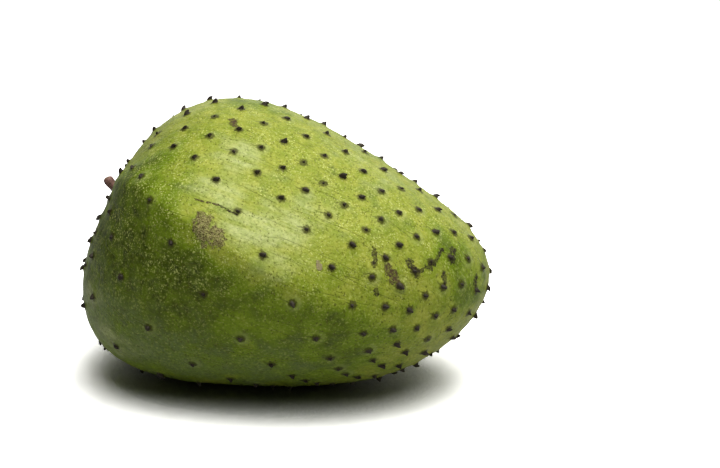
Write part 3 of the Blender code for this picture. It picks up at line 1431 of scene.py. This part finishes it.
    def _mark_spines(self, brush: Brush) -> Signal:
        """Marks the skin round each spine: a dark foot, partly a brown ring and partly painted shadow, a
        trailing line and a pale halo.

        Args:
            brush: The material.

        Returns:
            Where the lines are.
        """
        weave = brush.weave
        ahead, aside, away = weave.split(brush.attribute("spine_place", "Vector"))
        mood = brush.attribute("mood")
        halo = weave.ease(away, *self.halo_start)
        halo = weave.times(halo, weave.ease(away, *self.halo_end, 1.0, 0.0))
        halo = weave.times(halo, weave.ease(ahead, *self.halo_ahead, 0.35, 1.0))
        brush.paint(weave.times(halo, weave.ease(mood, 0.3, 1.0, 0.0, self.halo_share)), self.bloom_and_sheen)
        waver = weave.times(weave.swing(brush.mottle(self.wavering)), self.tail_waver)
        thin = weave.ease(weave.math("ABSOLUTE", weave.plus(aside, waver)), *self.tail_width, 1.0, 0.0)
        longest, shortest = self.tail_behind
        reach = weave.onto(longest, mood, self.tail_longer)
        behind = weave.times(weave.ease(ahead, reach, shortest), weave.math("LESS_THAN", ahead, 0.0))
        before = weave.ease(ahead, *self.tail_before)
        before = weave.times(before, weave.math("GREATER_THAN", ahead, 0.0))
        tails = weave.times(thin, weave.onto(behind, before, 0.5))
        # The dark ring round each spine's foot is partly a brown ring and partly painted shadow.
        edge = weave.onto(away, weave.swing(brush.mottle(self.foot_edge)), self.foot_ragged)
        foot = weave.ease(edge, *self.foot_fade, 1.0, 0.0)
        brush.paint(weave.math("MAXIMUM", weave.times(tails, 0.7), foot), self.foot, 0.85)
        return tails

    def _scar(self, brush: Brush) -> Signal:
        """Paints the scars.

        Args:
            brush: The material.

        Returns:
            Where the skin is corky.
        """
        weave = brush.weave
        rough = weave.swing(weave.noise(brush.coords, self.scar_scale, 4.0, 0.65))
        ragged = weave.times(rough, self.scar_ragged)
        crumbs = weave.ease(brush.mottle(self.crumbs), 0.0, 1.0, 0.6, 1.0)
        bent = weave.swing(weave.noise(brush.coords, self.scar_scale, bent=self.net_bent))
        net = weave.ease(weave.math("ABSOLUTE", bent), *self.net_line, 1.0, 0.0)
        corky: Value = 0.0
        for kind in ScarKind:
            near = weave.plus(brush.attribute(kind.name.lower()), ragged)
            found = weave.ease(near, *self.scar_edge)
            brush.paint(weave.times(found, crumbs), kind.value, 0.95)
            if kind is ScarKind.NETTED:
                brush.paint(weave.times(found, net), self.squiggle, 0.9)
            corky = weave.math("MAXIMUM", found, corky)
        return corky


@dataclass(frozen=True)
class SpineFinish:
    """The spines: charcoal horns that pale to olive green at the foot."""

    horn: Triple = (0.026, 0.019, 0.010)
    ashen: Triple = (0.095, 0.080, 0.055)
    foot: Triple = (0.060, 0.062, 0.014)
    gloss: float = 0.3
    dull: float = 0.48
    relief: float = 0.6
    relief_depth: float = 0.0002
    weathering: Blotches = Blotches(0.0011, 2.0, 0.9)
    dust_and_reflection: Specks = Specks(0.0006, 0.00025, 0.25)

    def make(self, effects: Effects) -> Material:
        """Makes the spines' material.

        Args:
            effects: The shared groups.

        Returns:
            The material.
        """
        brush = Brush("soursop_spine", effects, self.horn)
        brush.shader.inputs["Specular IOR Level"].default_value = self.gloss
        weave = brush.weave
        rise, mood = brush.attribute("spine_rise"), brush.attribute("mood")
        patchy = brush.mottle(self.weathering)
        brush.paint(weave.times(weave.ease(mood, 0.45, 1.0), patchy), self.ashen, 0.5)
        start = weave.onto(weave.times(patchy, 0.15), mood, 0.2)
        brush.paint(weave.ease(rise, start, weave.plus(start, 0.2), 1.0, 0.0), self.foot)
        brush.paint(brush.specks(self.dust_and_reflection), self.ashen, 0.4)
        return brush.finish(weave.onto(self.dull, patchy, 0.2), patchy, self.relief, self.relief_depth)


@dataclass(frozen=True)
class BarkFinish:
    """The stem: dry reddish-brown bark with pale lenticels and a paler torn end."""

    bark: Triple = (0.15, 0.070, 0.048)
    dark: Triple = (0.035, 0.016, 0.012)
    rosy: Triple = (0.38, 0.20, 0.165)
    pith: Triple = (0.25, 0.17, 0.09)
    dull: float = 0.6
    relief: float = 0.7
    relief_depth: float = 0.0004
    blushes: Blotches = Blotches(0.0035, 3.0, 0.9)
    pits: Blotches = Blotches(0.0007, 3.0, 0.8)
    lenticels: Specks = Specks(0.0018, 0.0007, 0.5)

    def make(self, effects: Effects) -> Material:
        """Makes the bark.

        Args:
            effects: The shared groups.

        Returns:
            The material.
        """
        brush = Brush("soursop_bark", effects, self.bark)
        weave = brush.weave
        share = brush.attribute("stem_share")
        broad, fine = brush.mottle(self.blushes), brush.mottle(self.pits)
        lenticels = brush.specks(self.lenticels)
        brush.paint(broad, self.rosy)
        brush.paint(fine, self.dark, 0.6)
        brush.paint(lenticels, self.pith, 0.7)
        brush.paint(weave.ease(share, 0.3, 0.0, 0.0, 0.55), self.dark)
        brush.paint(weave.ease(share, 0.94, 1.0), self.pith, 0.6)
        height = weave.onto(weave.onto(weave.times(broad, 0.5), fine, -0.6), lenticels, 0.5)
        return brush.finish(weave.onto(self.dull, fine, 0.2), height, self.relief, self.relief_depth)


# ---- Studio ----


@dataclass
class Studio:
    """The white table, the soft light over it and the camera."""

    target: Triple = (0.0433, 0.0273, 0.0679)
    azimuth: float = 15.0
    elevation: float = 17.0
    distance: float = 1.0
    lens: float = 100.0
    nearest: float = 0.05
    floor_radius: float = 2.6
    floor_sides: int = 96
    floor_white: float = 2.8
    floor_bounce: float = 0.55
    floor_dull: float = 0.9
    floor_gloss: float = 0.1
    floor_melts: Span = (0.35, 1.2)
    # Painted contact shadow: how far it reaches, how it fades and how dark it gets.
    contact_shadow_reach: float = 0.06
    contact_shadow_fade: Span = (0.30, 0.85)
    contact_shadow_dark: float = 0.12
    glow: float = 1.1
    key_place: Triple = (0.24, -0.16, 0.95)
    key_aim: Triple = (0.0, 0.0, 0.05)
    key_size: float = 1.0
    key_power: float = 14.3
    key_colour: Triple = (1.0, 0.99, 0.97)
    back: Triple = (0.10, 0.995, 0.0)
    back_fade: Span = (0.3, 0.95)
    back_white: float = 0.85
    front_dark: float = 0.015
    seen_white: float = 1.02

    def lay_floor(self) -> None:
        """Lays the pale floor, which melts into the white surroundings far out and has a painted contact
        shadow near the fruit.
        """
        shape = bmesh.new()
        bmesh.ops.create_circle(shape, cap_ends=True, segments=self.floor_sides, radius=self.floor_radius)
        mesh = plain_mesh("table_top", shape)
        made, weave, shader = new_material("white_table")
        shader.inputs["Roughness"].default_value = self.floor_dull
        shader.inputs["Specular IOR Level"].default_value = self.floor_gloss
        # Painted contact shadow: the floor's colour darkens where ambient occlusion finds the fruit close
        # by.
        contact_shadow = weave.add("ShaderNodeAmbientOcclusion", {"samples": 4}, Distance=self.contact_shadow_reach)
        open_share = weave.ease(contact_shadow.outputs["AO"], *self.contact_shadow_fade, self.contact_shadow_dark, 1.0)
        white = weave.blend(open_share, (0.0, 0.0, 0.0), (self.floor_white,) * 3)
        weave.feed(shader.inputs["Base Color"], white)
        coords = weave.add("ShaderNodeTexCoord").outputs["Object"]
        far = weave.ease(weave.vector("LENGTH", coords), *self.floor_melts)
        glow = weave.add("ShaderNodeEmission", Color=(1.0, 1.0, 1.0), Strength=self.glow)
        seen = weave.add("ShaderNodeMixShader", None, far, shader.outputs[0], glow.outputs[0])
        dull = weave.add("ShaderNodeBsdfDiffuse", Color=(self.floor_bounce,) * 3)
        to_camera = weave.add("ShaderNodeLightPath").outputs["Is Camera Ray"]
        mixed = weave.add("ShaderNodeMixShader", None, to_camera, dull.outputs[0], seen.outputs[0])
        weave.feed(made.node_tree.nodes["Material Output"].inputs["Surface"], mixed.outputs[0])
        mesh.materials.append(made)
        add_object("table_top", mesh)

    def light(self) -> None:
        """Hangs the soft key light overhead and fills the surroundings with white."""
        lamp = bpy.data.lights.new("overhead_softbox", "AREA")
        lamp.shape = "RECTANGLE"
        lamp.size = lamp.size_y = self.key_size
        lamp.energy = self.key_power
        lamp.color = self.key_colour
        hung = add_object("overhead_softbox", lamp)
        hung.location = self.key_place
        aim = Vector(self.key_aim) - hung.location
        hung.rotation_euler = aim.to_track_quat("-Z", "Y").to_euler()
        world = bpy.data.worlds.new("white_room")
        world.use_nodes = True
        weave = Weave(world.node_tree)
        direction = weave.add("ShaderNodeTexCoord").outputs["Generated"]
        behind = weave.vector("DOT_PRODUCT", direction, self.back)
        lit = weave.ease(behind, *self.back_fade, self.front_dark, self.back_white)
        seen = weave.add("ShaderNodeLightPath").outputs["Is Camera Ray"]
        strength = weave.math("MAXIMUM", lit, weave.times(seen, self.seen_white))
        sky = world.node_tree.nodes["Background"]
        sky.inputs["Color"].default_value = (1.0, 1.0, 1.0, 1.0)
        weave.feed(sky.inputs["Strength"], strength)
        bpy.context.scene.world = world
        bpy.context.scene.view_settings.view_transform = "Standard"

    def set_camera(self) -> None:
        """Stands the camera at its viewing angle."""
        data = bpy.data.cameras.new("camera")
        data.lens = self.lens
        data.clip_start = self.nearest
        camera = add_object("camera", data)
        turn, tilt = radians(self.azimuth), radians(self.elevation)
        back = Vector((sin(turn) * cos(tilt), -cos(turn) * cos(tilt), sin(tilt)))
        camera.location = Vector(self.target) + self.distance * back
        camera.rotation_euler = (-back).to_track_quat("-Z", "Y").to_euler()
        bpy.context.scene.camera = camera


# ---- The whole fruit ----


def settle(piece: Piece, node: str) -> None:
    """Ties a finished piece to the frame.

    Args:
        piece: The piece.
        node: The CAD node that it stands for.
    """
    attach(piece, "root")
    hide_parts(node)
    log.info("%s stands for %s with %d faces", piece.name, node, len(piece.data.polygons))


def main() -> None:
    """Builds the fruit, its spines and stem, and the studio round them."""
    logging.basicConfig(level=logging.INFO, format="%(name)s: %(message)s")
    studio = Studio()
    studio.set_camera()
    effects = Effects()
    drop = Drop()
    spine_field = SpineField(drop)
    roots = spine_field.lay_roots()
    settle(Skin(drop).build(roots, SkinFinish().make(effects)), "fruit")
    settle(spine_field.build(SpineFinish().make(effects)), "fruit")
    bpy.data.objects.remove(roots)
    settle(StemStub(drop).build(BarkFinish().make(effects)), "stem")
    studio.lay_floor()
    studio.light()


if __name__ == "__main__":
    main()
